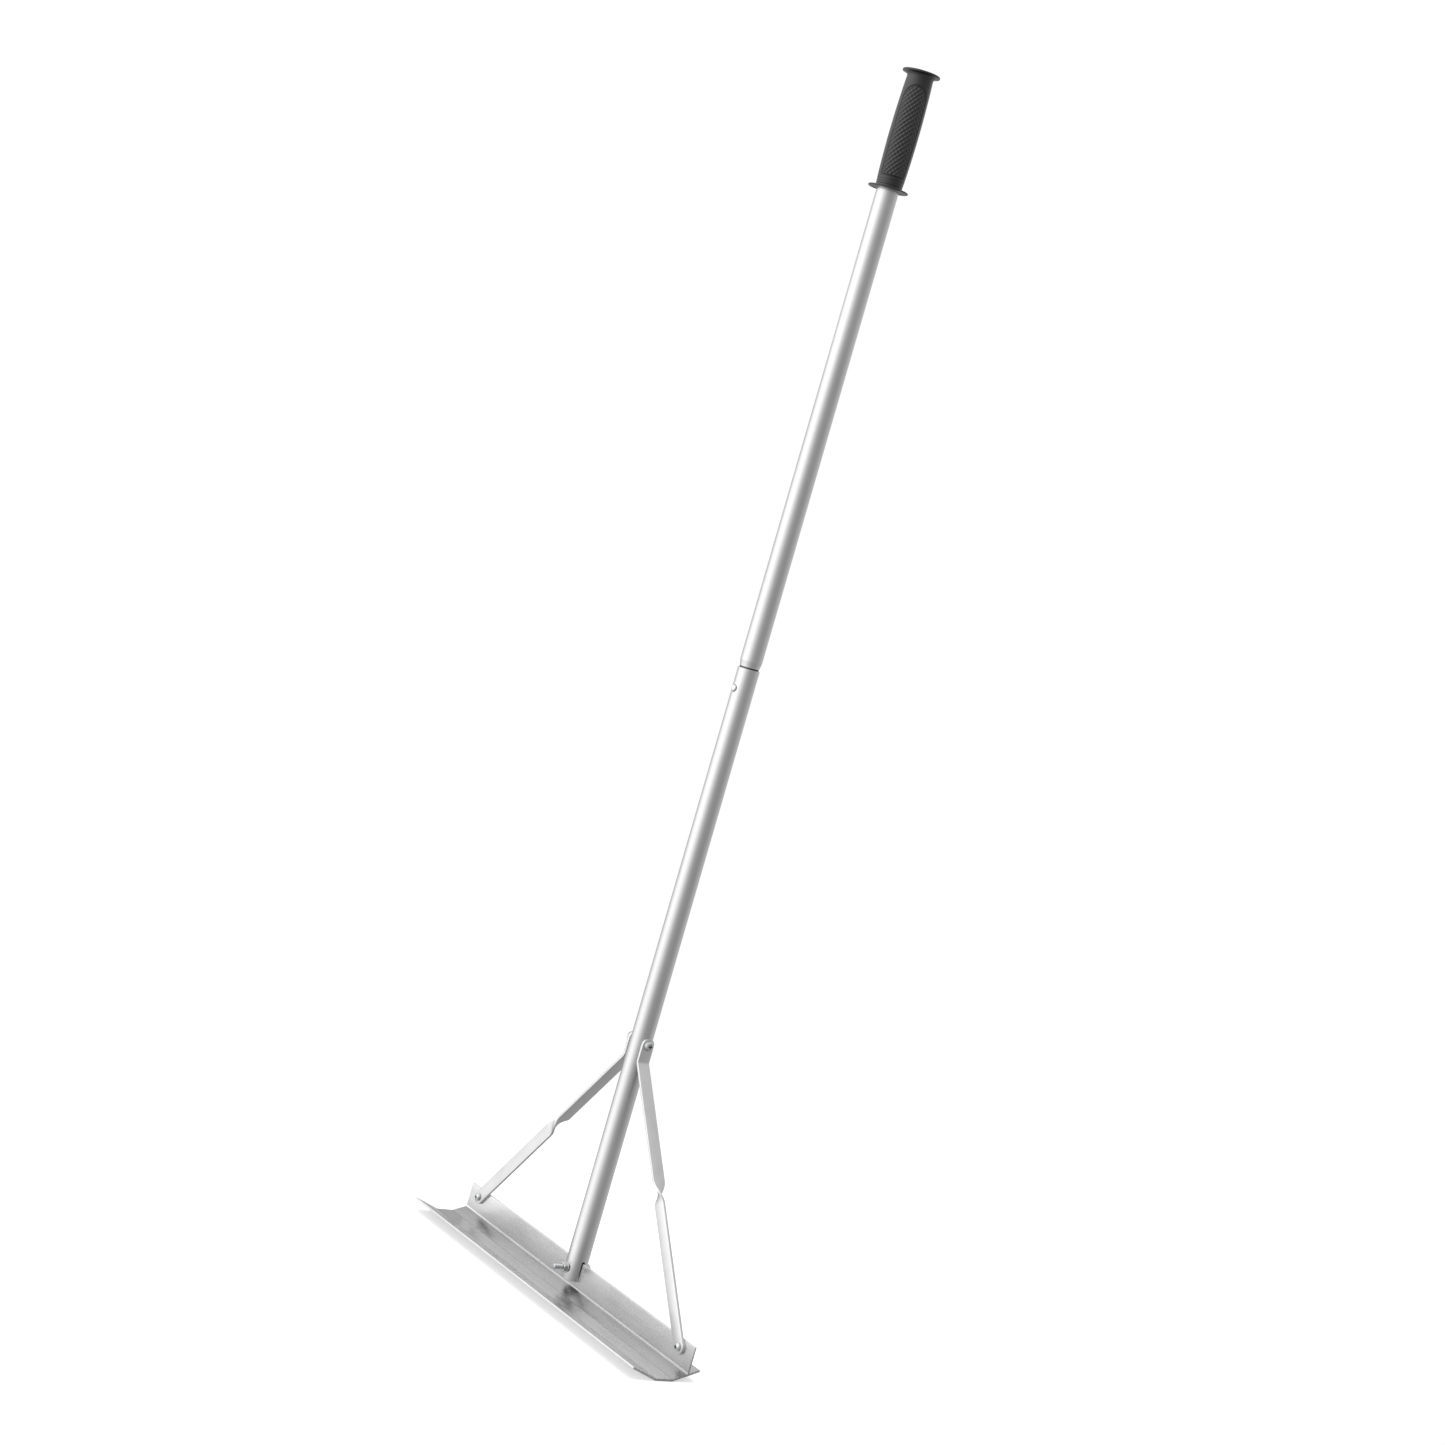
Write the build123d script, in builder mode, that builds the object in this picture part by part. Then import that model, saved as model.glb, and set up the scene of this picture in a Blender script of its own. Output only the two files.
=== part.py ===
from build123d import *
import os
from math import asin, atan2, cos, degrees, hypot, radians, sin, tan

os.makedirs("parts", exist_ok=True)

# Long-handled concrete placer: a shallow trough blade with an upright rib, a tube handle in
# two sections, two twisted flat-bar braces and a rubber grip. Sizes are in millimetres.
# The origin is the centre of the blade's flat sole, on the ground. +Z runs up the handle,
# +X runs along the blade and -Y points to the front, where the handle's button is.

# Blade: one extrusion, 19 1/2 inches long
blade_length = 495.3
plate = 2.5
floor_half_width = 11.0
wing_width = 35.2
wing_angle = 20.0
edge_round = 0.5
crease_round = 2.0
rib_thickness = 2.0
rib_top_z = 39.6
rib_root_round = 1.5

# Handle: 1 inch tube, standing over the rib
handle_y = 30.0
tube_radius = 12.7
tube_wall = 1.5
foot_z = 17.0
slot_width = 4.0
slot_top_z = rib_top_z + 1.5
lip_z = 744.8
lip_round = 0.5
spigot_radius = 11.1
spigot_length = 75.0
taper_gap = 1.0
taper_length = 8.0
handle_top_z = 1428.0

# Grip: a rubber sleeve with a closed top
grip_z = 1300.0
grip_top_z = 1435.0
grip_end_radius = 15.0
grip_belly_radius = 16.7
lower_flange_radius = 23.0
lower_flange_thickness = 1.8
upper_flange_radius = 21.5
upper_flange_thickness = 2.4
cove_radius = 4.5
grip_crown = 1.6
ring_count = 3
ring_pitch = 2.5
ring_depth = 0.5

# Braces: 5/8 by 1/8 inch flat bar
bar_width = 16.0
bar_thickness = 3.2
cross_z = 302.7
bend_z = 282.0
bend_radius = 7.0
screw_x = 223.2
bolt_line_z = 29.6
twist_position = 0.47
twist_length = 30.0
twist_steps = 8

# Fasteners: M6 and M5
m6_radius = 2.95
m6_hole = 3.2
m6_flats = 10.0
m6_head_height = 4.0
m6_nut_height = 5.0
m6_nut_bore = 3.0
m6_washer_radius = 6.0
m6_washer_thickness = 1.2
m6_pan_radius = 5.6
m6_pan_height = 3.6
foot_bolt_length = 45.0
cross_screw_length = 40.0
m5_radius = 2.45
m5_hole = 2.65
m5_flats = 8.0
m5_nut_height = 4.0
m5_nut_bore = 2.5
m5_washer_radius = 5.0
m5_washer_thickness = 1.0
m5_pan_radius = 4.9
m5_pan_height = 3.7
brace_screw_length = 12.0
thread_chamfer = 0.8
hex_corner_chamfer = 0.4
recess_width = 1.1
recess_depth = 1.6

# Snap button on a folded strip spring inside the spigot
button_drop = 24.7
button_radius = 3.8
button_hole = 4.3
button_height = 2.8
dome_height = 2.0
button_rivet_radius = 1.7
button_rivet_head_radius = 2.6
strip_width = 8.0
strip_thickness = 0.8
strip_face = 8.6
fold_rise = 45.0
fold_radius = 3.2
leaf_tail = 8.0
base_lean = 11.0
base_length = 52.0

handle_axis = Axis((0, handle_y, 0), (0, 0, 1))
front_plane = Plane.XZ.offset(-handle_y)
bore_radius = tube_radius - tube_wall
spigot_bore = spigot_radius - tube_wall
spigot_z = lip_z - spigot_length
button_z = lip_z - button_drop
bar_x = tube_radius + bar_thickness / 2
bar_front = rib_thickness / 2 + bar_thickness
bar_offset = rib_thickness / 2 + bar_thickness / 2


def save(solid, label):
    """Label a finished piece and write it as the STEP file of its node."""
    solid.label = label
    export_step(solid, f"parts/{label}.step")


def cap(radius, height):
    """The sphere's radius, and half its angle, for a cap of this radius and height."""
    sphere = (radius**2 + height**2) / (2 * height)
    return sphere, degrees(asin(radius / sphere))


def axis_plane(point, direction):
    """A plane at a point given from the handle's axis, facing along a fastener's direction."""
    x, y, z = point
    return Plane(origin=(x, handle_y + y, z), x_dir=(0, 0, 1), z_dir=direction)


# --- Blade: trough and rib in one extrusion -----------------------------------------------

wing_y = floor_half_width + wing_width * cos(radians(wing_angle))
wing_z = plate + wing_width * sin(radians(wing_angle))
sole_half_width = floor_half_width + plate * tan(radians(wing_angle / 2))
tip_y = wing_y + plate * sin(radians(wing_angle))
tip_z = wing_z - plate * cos(radians(wing_angle))

with BuildPart() as blade:
    with BuildSketch(Plane.YZ) as section:
        with BuildLine():
            Polyline(
                (-wing_y, wing_z),
                (-floor_half_width, plate),
                (floor_half_width, plate),
                (wing_y, wing_z),
                (tip_y, tip_z),
                (sole_half_width, 0),
                (-sole_half_width, 0),
                (-tip_y, tip_z),
                close=True,
            )
        make_face()
        creases = [v for v in section.vertices() if abs(v.X) < floor_half_width + plate]
        fillet([v for v in creases if v.Y > plate / 2], crease_round)
        fillet([v for v in creases if v.Y < plate / 2], crease_round + plate)
        fillet([v for v in section.vertices() if abs(v.X) > wing_y - edge_round], edge_round)
        rib_base_z = plate + (handle_y - floor_half_width) * tan(radians(wing_angle)) - plate / 2
        with Locations((handle_y, (rib_base_z + rib_top_z) / 2)):
            Rectangle(rib_thickness, rib_top_z - rib_base_z)
        rib_sides = [v for v in section.vertices() if abs(v.X - handle_y) < rib_thickness]
        fillet([v for v in rib_sides if v.Y > rib_top_z - edge_round], edge_round)
        fillet([v for v in rib_sides if v.Y < wing_z + plate], rib_root_round)
    extrude(amount=blade_length / 2, both=True)
    with BuildSketch(front_plane):
        with Locations((0, bolt_line_z)):
            Circle(m6_hole)
        with Locations((-screw_x, bolt_line_z), (screw_x, bolt_line_z)):
            Circle(m5_hole)
    extrude(amount=rib_thickness, both=True, mode=Mode.SUBTRACT)
save(blade.part, "blade")

# --- Handle tubes -------------------------------------------------------------------------

with BuildPart() as lower_tube:
    with BuildSketch(Plane.XY.offset(foot_z)):
        with Locations((0, handle_y)):
            Circle(tube_radius)
            Circle(bore_radius, mode=Mode.SUBTRACT)
    extrude(amount=lip_z - foot_z)
    lip_edges = lower_tube.edges().filter_by(GeomType.CIRCLE).group_by(Axis.Z)[-1]
    fillet(lip_edges.sort_by(SortBy.RADIUS)[-1], lip_round)
    # the slot that stands over the blade's rib
    with BuildSketch(Plane.YZ):
        with Locations((handle_y, foot_z)):
            Rectangle(slot_width, 2 * (slot_top_z - foot_z))
    extrude(amount=tube_radius, both=True, mode=Mode.SUBTRACT)
    with BuildSketch(front_plane):
        with Locations((0, bolt_line_z)):
            Circle(m6_hole)
    extrude(amount=tube_radius, both=True, mode=Mode.SUBTRACT)
    with BuildSketch(Plane.YZ):
        with Locations((handle_y, cross_z)):
            Circle(m6_hole)
    extrude(amount=tube_radius, both=True, mode=Mode.SUBTRACT)
    with BuildSketch(front_plane):
        with Locations((0, button_z)):
            Circle(button_hole)
    extrude(amount=tube_radius, mode=Mode.SUBTRACT)
save(lower_tube.part, "lower_tube")

taper_z = lip_z + taper_gap
shoulder_z = taper_z + taper_length

with BuildPart() as upper_tube:
    with BuildSketch(front_plane):
        with BuildLine():
            Polyline(
                (spigot_radius, spigot_z),
                (spigot_radius, taper_z),
                (tube_radius, shoulder_z),
                (tube_radius, handle_top_z),
                (bore_radius, handle_top_z),
                (bore_radius, shoulder_z),
                (spigot_bore, taper_z),
                (spigot_bore, spigot_z),
                close=True,
            )
        make_face()
    revolve(axis=handle_axis)
    with BuildSketch(front_plane):
        with Locations((0, button_z)):
            Circle(button_hole)
    extrude(amount=tube_radius, mode=Mode.SUBTRACT)
save(upper_tube.part, "upper_tube")

# --- Grip: barrelled sleeve, a flat flange at the bottom, a coved one and a crown at the top ---

grip_body_z = grip_z + lower_flange_thickness
flange_under_z = grip_top_z - grip_crown - upper_flange_thickness
grip_neck_z = flange_under_z - cove_radius
cove_middle = cove_radius * cos(radians(45))
crown_sphere, crown_angle = cap(upper_flange_radius, grip_crown)
with BuildPart() as grip:
    with BuildSketch(front_plane):
        with BuildLine():
            Polyline(
                (tube_radius, grip_z),
                (lower_flange_radius, grip_z),
                (lower_flange_radius, grip_body_z),
                (grip_end_radius, grip_body_z),
            )
            ThreePointArc(
                (grip_end_radius, grip_body_z),
                (grip_belly_radius, (grip_body_z + grip_neck_z) / 2),
                (grip_end_radius, grip_neck_z),
            )
            ThreePointArc(
                (grip_end_radius, grip_neck_z),
                (grip_end_radius + cove_radius - cove_middle, grip_neck_z + cove_middle),
                (grip_end_radius + cove_radius, flange_under_z),
            )
            Polyline(
                (grip_end_radius + cove_radius, flange_under_z),
                (upper_flange_radius, flange_under_z),
                (upper_flange_radius, flange_under_z + upper_flange_thickness),
            )
            CenterArc((0, grip_top_z - crown_sphere), crown_sphere, 90 - crown_angle, crown_angle)
            Polyline(
                (0, grip_top_z),
                (0, handle_top_z),
                (tube_radius, handle_top_z),
                (tube_radius, grip_z),
            )
        make_face()
    revolve(axis=handle_axis)
    # shallow rings round the sleeve above the lower flange
    ring_planes = [Plane.XY.offset(grip_body_z + ring_pitch * (i + 1)) for i in range(ring_count)]
    for ring_plane in ring_planes:
        with BuildSketch(ring_plane):
            with Locations((0, handle_y)):
                Circle(grip_belly_radius)
                Circle(grip_end_radius - ring_depth / 2, mode=Mode.SUBTRACT)
        extrude(amount=ring_depth, mode=Mode.SUBTRACT)
save(grip.part, "grip")


# --- Braces: a tab on the tube, a bend, and a quarter twist half way down --------------------


def make_brace(side):
    """One brace. side is 1 on the right and -1 on the left. Both have the same twist."""
    drop = hypot(screw_x - bar_x, bend_z - bolt_line_z)
    slope = atan2(screw_x - bar_x, bend_z - bolt_line_z)
    along = Vector(side * sin(slope), 0, -cos(slope))
    # the bar's front edge turns out to this side: up on the right brace, down on the left
    across = Vector(cos(slope), 0, side * sin(slope))
    front = Vector(0, -1, 0)
    bend = Vector(side * bar_x, handle_y, bend_z)
    twist_from = twist_position * drop - twist_length / 2

    def bar_plane(distance, turn):
        """The bar's section at a distance below the bend, part way through the quarter twist."""
        ease = turn * turn * (3 - 2 * turn)
        angle = ease * radians(90)
        centre = bend + along * distance + front * (bar_offset * ease)
        return Plane(origin=centre, x_dir=front * cos(angle) + across * sin(angle), z_dir=along)

    with BuildPart() as brace:
        # the tab, the bend and the upper half, wide from front to back
        with BuildSketch(front_plane):
            with BuildLine():
                FilletPolyline(
                    (side * bar_x, cross_z),
                    (side * bar_x, bend_z),
                    (side * bar_x + along.X * twist_from, bend_z + along.Z * twist_from),
                    radius=bend_radius,
                )
            trace(line_width=bar_thickness)
        extrude(amount=bar_width / 2, both=True)
        with BuildSketch(Plane.YZ.offset(side * bar_x)):
            with Locations((handle_y, cross_z)):
                Circle(bar_width / 2)
        extrude(amount=bar_thickness / 2, both=True)
        # the quarter twist
        for step in range(twist_steps + 1):
            turn = step / twist_steps
            with BuildSketch(bar_plane(twist_from + turn * twist_length, turn)):
                Rectangle(bar_width, bar_thickness)
        loft()
        # the lower half, flat against the rib, with a round end about its screw
        with BuildSketch(bar_plane(twist_from + twist_length, 1)):
            Rectangle(bar_width, bar_thickness)
        extrude(amount=drop - twist_from - twist_length)
        with BuildSketch(front_plane.offset(bar_offset)):
            with Locations((side * screw_x, bolt_line_z)):
                Circle(bar_width / 2)
        extrude(amount=bar_thickness / 2, both=True)
        with BuildSketch(front_plane.offset(bar_offset)):
            with Locations((side * screw_x, bolt_line_z)):
                Circle(m5_hole)
        extrude(amount=bar_thickness, both=True, mode=Mode.SUBTRACT)
        with BuildSketch(Plane.YZ.offset(side * bar_x)):
            with Locations((handle_y, cross_z)):
                Circle(m6_hole)
        extrude(amount=bar_thickness, both=True, mode=Mode.SUBTRACT)
    return brace.part


save(make_brace(1), "brace_right")
save(make_brace(-1), "brace_left")


# --- Fasteners ----------------------------------------------------------------------------


def make_washer(plane, radius, hole, thickness):
    """A flat washer that rises from the plane along its normal."""
    with BuildPart() as washer:
        with BuildSketch(plane):
            Circle(radius)
            Circle(hole, mode=Mode.SUBTRACT)
        extrude(amount=thickness)
    return washer.part


def make_nut(plane, flats, bore, height):
    """A plain hex nut that rises from the plane along its normal."""
    with BuildPart() as nut:
        with BuildSketch(plane):
            RegularPolygon(flats / 2, 6, major_radius=False)
        extrude(amount=height)
        chamfer(nut.faces().sort_by(Axis(plane.origin, plane.z_dir))[-1].edges(), hex_corner_chamfer)
        with BuildSketch(plane):
            Circle(bore)
        extrude(amount=height, mode=Mode.SUBTRACT)
    return nut.part


def make_hex_bolt(plane, length):
    """An M6 bolt: its hex head is behind the plane and its shank runs along the normal."""
    with BuildPart() as bolt:
        with BuildSketch(plane):
            RegularPolygon(m6_flats / 2, 6, major_radius=False)
        extrude(amount=-m6_head_height)
        crown = bolt.faces().sort_by(Axis(plane.origin, plane.z_dir))[0]
        chamfer(crown.edges(), hex_corner_chamfer)
        with BuildSketch(plane):
            Circle(m6_radius)
        extrude(amount=length)
        tip = bolt.faces().sort_by(Axis(plane.origin, plane.z_dir))[-1]
        chamfer(tip.edges(), thread_chamfer)
    return bolt.part


def make_pan_screw(plane, head_radius, head_height, radius, length):
    """A cross-recessed pan-head screw: head behind the plane, shank along the normal."""
    with BuildPart() as screw:
        with BuildSketch(plane):
            Circle(head_radius)
        extrude(amount=-head_height)
        crown = screw.faces().sort_by(Axis(plane.origin, plane.z_dir))[0]
        fillet(crown.edges(), head_height / 2)
        with BuildSketch(plane.offset(-head_height)):
            Rectangle(head_radius, recess_width)
            Rectangle(recess_width, head_radius)
        extrude(amount=recess_depth, mode=Mode.SUBTRACT)
        with BuildSketch(plane):
            Circle(radius)
        extrude(amount=length)
        tip = screw.faces().sort_by(Axis(plane.origin, plane.z_dir))[-1]
        chamfer(tip.edges(), thread_chamfer)
    return screw.part


# through the foot of the tube and the rib: head at the back, nut and spare thread in front
foot_back = tube_radius + m6_washer_thickness
foot_bolt_plane = axis_plane((0, foot_back, bolt_line_z), (0, -1, 0))
foot_rear_face = axis_plane((0, tube_radius, bolt_line_z), (0, 1, 0))
foot_front_face = axis_plane((0, -tube_radius, bolt_line_z), (0, -1, 0))
foot_nut_face = foot_front_face.offset(m6_washer_thickness)
save(make_hex_bolt(foot_bolt_plane, foot_bolt_length), "foot_bolt")
save(make_washer(foot_rear_face, m6_washer_radius, m6_hole, m6_washer_thickness), "foot_washer_rear")
save(make_washer(foot_front_face, m6_washer_radius, m6_hole, m6_washer_thickness), "foot_washer_front")
save(make_nut(foot_nut_face, m6_flats, m6_nut_bore, m6_nut_height), "foot_nut")

# through both brace tabs and the tube: pan head on the right, nut on the left
tab_face = tube_radius + bar_thickness
cross_right_face = axis_plane((tab_face, 0, cross_z), (1, 0, 0))
cross_left_face = axis_plane((-tab_face, 0, cross_z), (-1, 0, 0))
cross_screw_plane = axis_plane((tab_face + m6_washer_thickness, 0, cross_z), (-1, 0, 0))
cross_nut_face = cross_left_face.offset(m6_washer_thickness)
cross_screw = make_pan_screw(
    cross_screw_plane, m6_pan_radius, m6_pan_height, m6_radius, cross_screw_length
)
save(cross_screw, "cross_screw")
save(make_washer(cross_right_face, m6_washer_radius, m6_hole, m6_washer_thickness), "cross_washer_right")
save(make_washer(cross_left_face, m6_washer_radius, m6_hole, m6_washer_thickness), "cross_washer_left")
save(make_nut(cross_nut_face, m6_flats, m6_nut_bore, m6_nut_height), "cross_nut")

# through the foot of each brace and the rib: pan head in front, washer and nut behind
for side, name in ((1, "right"), (-1, "left")):
    head_face = axis_plane((side * screw_x, -bar_front, bolt_line_z), (0, 1, 0))
    rib_back = axis_plane((side * screw_x, rib_thickness / 2, bolt_line_z), (0, 1, 0))
    nut_face = rib_back.offset(m5_washer_thickness)
    screw = make_pan_screw(head_face, m5_pan_radius, m5_pan_height, m5_radius, brace_screw_length)
    save(screw, f"brace_screw_{name}")
    save(make_washer(rib_back, m5_washer_radius, m5_hole, m5_washer_thickness), f"brace_washer_{name}")
    save(make_nut(nut_face, m5_flats, m5_nut_bore, m5_nut_height), f"brace_nut_{name}")

# --- Snap button and its folded strip spring ------------------------------------------------

leaf_y = handle_y - strip_face + strip_thickness / 2
fold_y = leaf_y + fold_radius
fold_z = button_z + fold_rise
lean = radians(base_lean)

with BuildPart() as snap_spring_base:
    with BuildSketch(Plane.YZ):
        with BuildLine():
            # the fold, over the top from the front leaf round to the back leg
            CenterArc((fold_y, fold_z), fold_radius, base_lean, 180 - base_lean)
            Line(
                (fold_y + fold_radius * cos(lean), fold_z + fold_radius * sin(lean)),
                (
                    fold_y + fold_radius * cos(lean) + base_length * sin(lean),
                    fold_z + fold_radius * sin(lean) - base_length * cos(lean),
                ),
            )
        trace(line_width=strip_thickness)
    extrude(amount=strip_width / 2, both=True)
save(snap_spring_base.part, "snap_spring_base")

leaf_bottom_z = button_z - leaf_tail
with BuildPart() as snap_spring_leaf:
    with BuildSketch(front_plane.offset(handle_y - leaf_y)):
        with Locations((0, (fold_z + leaf_bottom_z) / 2)):
            Rectangle(strip_width, fold_z - leaf_bottom_z)
        with Locations((0, leaf_bottom_z)):
            Circle(strip_width / 2)
        with Locations((0, button_z)):
            Circle(button_rivet_radius, mode=Mode.SUBTRACT)
    extrude(amount=strip_thickness / 2, both=True)
save(snap_spring_leaf.part, "snap_spring_leaf")

button_top = tube_radius + button_height
dome_sphere, dome_angle = cap(button_radius, dome_height)
dome_start = button_top - dome_height
with BuildPart() as snap_button:
    with BuildSketch(Plane.XY):
        with BuildLine():
            Polyline(
                (0, strip_face - 2 * strip_thickness),
                (button_rivet_head_radius, strip_face - 2 * strip_thickness),
                (button_rivet_head_radius, strip_face - strip_thickness),
                (button_rivet_radius, strip_face - strip_thickness),
                (button_rivet_radius, strip_face),
                (button_radius, strip_face),
                (button_radius, dome_start),
            )
            CenterArc((0, button_top - dome_sphere), dome_sphere, 90 - dome_angle, dome_angle)
            Line((0, button_top), (0, strip_face - 2 * strip_thickness))
        make_face()
    revolve(axis=Axis.Y)
button_place = Plane(origin=(0, handle_y, button_z), x_dir=(1, 0, 0), z_dir=(0, 0, -1))
save(button_place * snap_button.part, "snap_button")
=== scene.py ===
"""A long-handled concrete placer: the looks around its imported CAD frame.

Shapes are worked out in millimetres in the row frame: Z up the handle, X along the blade,
-Y to the front. add_mesh turns them into metres.
"""

from math import atan2, cos, exp, floor, hypot, pi, radians, sin, tan

import bmesh
import bpy
from mathutils import Matrix, Vector


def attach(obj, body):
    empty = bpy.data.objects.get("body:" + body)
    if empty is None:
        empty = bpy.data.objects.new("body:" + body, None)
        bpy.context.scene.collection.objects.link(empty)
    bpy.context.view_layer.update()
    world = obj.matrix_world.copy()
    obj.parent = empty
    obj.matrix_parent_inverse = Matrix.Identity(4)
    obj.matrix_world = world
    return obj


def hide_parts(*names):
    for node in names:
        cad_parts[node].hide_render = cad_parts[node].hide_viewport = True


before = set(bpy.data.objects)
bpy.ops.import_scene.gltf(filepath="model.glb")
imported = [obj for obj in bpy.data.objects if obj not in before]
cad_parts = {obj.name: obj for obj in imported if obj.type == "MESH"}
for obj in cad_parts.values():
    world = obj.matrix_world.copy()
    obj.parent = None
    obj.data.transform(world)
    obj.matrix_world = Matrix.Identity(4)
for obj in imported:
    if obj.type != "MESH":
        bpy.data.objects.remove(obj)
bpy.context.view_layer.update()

MM = 0.001
scene = bpy.context.scene

# --- Sizes that the pieces share with the CAD -----------------------------------------------

handle_y = 30.0
tube_radius = 12.7
rib_half = 1.0
bar_width = 16.0
bar_thickness = 3.2
cross_z = 302.7
bend_z = 282.0
bend_radius = 7.0
screw_x = 223.2
bolt_line_z = 29.6
grip_z = 1300.0
handle_top_z = 1428.0


# --- Mesh tools -----------------------------------------------------------------------------


def add_mesh(name, verts, faces, sharp=35.0):
    """An object from points in millimetres. Edges that turn by more than sharp degrees stay crisp."""
    mesh = bpy.data.meshes.new(name)
    mesh.from_pydata([tuple(MM * c for c in v) for v in verts], [], faces)
    bm = bmesh.new()
    bm.from_mesh(mesh)
    bmesh.ops.remove_doubles(bm, verts=bm.verts, dist=1e-6)
    bmesh.ops.recalc_face_normals(bm, faces=bm.faces)
    bm.to_mesh(mesh)
    bm.free()
    mesh.polygons.foreach_set("use_smooth", [True] * len(mesh.polygons))
    mesh.set_sharp_from_angle(angle=radians(sharp))
    obj = bpy.data.objects.new(name, mesh)
    scene.collection.objects.link(obj)
    return obj


def dress(obj, material, body, slot, *nodes):
    """The piece takes its material, rides on its body and stands for its CAD nodes."""
    obj.data.materials.append(material)
    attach(obj, body)
    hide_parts(*nodes)


def place_at(origin, direction):
    """A frame whose Z axis is the direction, in millimetres."""
    turn = Vector(direction).to_track_quat("Z", "Y").to_matrix().to_4x4()
    return Matrix.Translation(Vector(origin)) @ turn


def skin(rows, loop_rows=False, caps=False):
    """Faces between rows of points that each run once round. caps closes the first and last row."""
    count = len(rows[0])
    verts = [point for row in rows for point in row]
    pairs = [(i, i + 1) for i in range(len(rows) - 1)]
    if loop_rows:
        pairs.append((len(rows) - 1, 0))
    faces = []
    for i, j in pairs:
        for k in range(count):
            n = (k + 1) % count
            faces.append((i * count + k, i * count + n, j * count + n, j * count + k))
    if caps:
        faces.append(tuple(range(count)))
        faces.append(tuple(range((len(rows) - 1) * count, len(rows) * count)))
    return verts, faces


def turned(rows, place, steps):
    """Rows of points turned about a frame's Z axis. A row is (radius, height), or a function of
    the angle that gives them."""
    angles = [2 * pi * k / steps for k in range(steps)]
    out = []
    for row in rows:
        ring = []
        for a in angles:
            r, h = row(a) if callable(row) else row
            ring.append(place @ Vector((r * cos(a), r * sin(a), h)))
        out.append(ring)
    return out


def rounded(points, radii, steps=4):
    """A closed outline with each corner rounded to its radius."""
    out = []
    count = len(points)
    for i, radius in enumerate(radii):
        here = Vector(points[i])
        back = (Vector(points[i - 1]) - here).normalized()
        ahead = (Vector(points[(i + 1) % count]) - here).normalized()
        half = back.angle(ahead) / 2
        if radius <= 0 or abs(half - pi / 2) < 1e-4:
            out.append(here)
            continue
        centre = here + (back + ahead).normalized() * radius / sin(half)
        first = here + back * radius / tan(half) - centre
        last = here + ahead * radius / tan(half) - centre
        sweep = first.angle(last)
        for k in range(steps + 1):
            t = k / steps
            out.append(centre + (first * sin((1 - t) * sweep) + last * sin(t * sweep)) / sin(sweep))
    return out


def smooth(t):
    """0 below 0, 1 above 1, and an easy curve between."""
    t = min(max(t, 0.0), 1.0)
    return t * t * (3 - 2 * t)


# --- Materials ------------------------------------------------------------------------------


class Finish:
    """One node material: a Principled shader and the nodes that feed it."""

    def __init__(self, name, sockets):
        self.material = bpy.data.materials.new(name)
        self.material.use_nodes = True
        self.tree = self.material.node_tree
        self.shader = self.tree.nodes["Principled BSDF"]
        for socket, value in sockets.items():
            self.shader.inputs[socket].default_value = value
        self.coords = self.add("ShaderNodeTexCoord").outputs["Object"]

    def add(self, kind, inputs=None, **settings):
        node = self.tree.nodes.new(kind)
        for key, value in settings.items():
            setattr(node, key, value)
        for socket, value in (inputs or {}).items():
            if isinstance(value, bpy.types.NodeSocket):
                self.tree.links.new(value, node.inputs[socket])
            else:
                node.inputs[socket].default_value = value
        return node

    def noise(self, scale, detail=3.0, roughness=0.5):
        """Noise with its own scale per metre along X, Y and Z."""
        place = self.add("ShaderNodeMapping", {"Vector": self.coords, "Scale": scale})
        settings = {"Vector": place.outputs["Vector"], "Scale": 1.0}
        settings.update({"Detail": detail, "Roughness": roughness})
        return self.add("ShaderNodeTexNoise", settings).outputs[0]

    def ramp(self, value, start, end, low, high):
        inputs = {"Value": value, "From Min": start, "From Max": end, "To Min": low, "To Max": high}
        return self.add("ShaderNodeMapRange", inputs).outputs["Result"]

    def math(self, operation, a, b):
        return self.add("ShaderNodeMath", {0: a, 1: b}, operation=operation).outputs[0]

    def colour(self, factor, low, high):
        """The shader's colour, between two greys or colours."""
        node = self.add("ShaderNodeValToRGB", {"Fac": factor})
        for element, value in zip(node.color_ramp.elements, (low, high)):
            element.color = (*value, 1.0)
        self.tree.links.new(node.outputs["Color"], self.shader.inputs["Base Color"])

    def rough(self, value):
        self.tree.links.new(value, self.shader.inputs["Roughness"])

    def bump(self, height, distance, strength=1.0):
        inputs = {"Height": height, "Distance": distance, "Strength": strength}
        node = self.add("ShaderNodeBump", inputs)
        self.tree.links.new(node.outputs["Normal"], self.shader.inputs["Normal"])


def grey(value, warm=0.0):
    return (value * (1 + warm), value, value * (1 - warm))


recess_z = 745.85  # the middle of the spigot's root, just above the lower tube's lip
recess_half = 0.85


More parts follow.
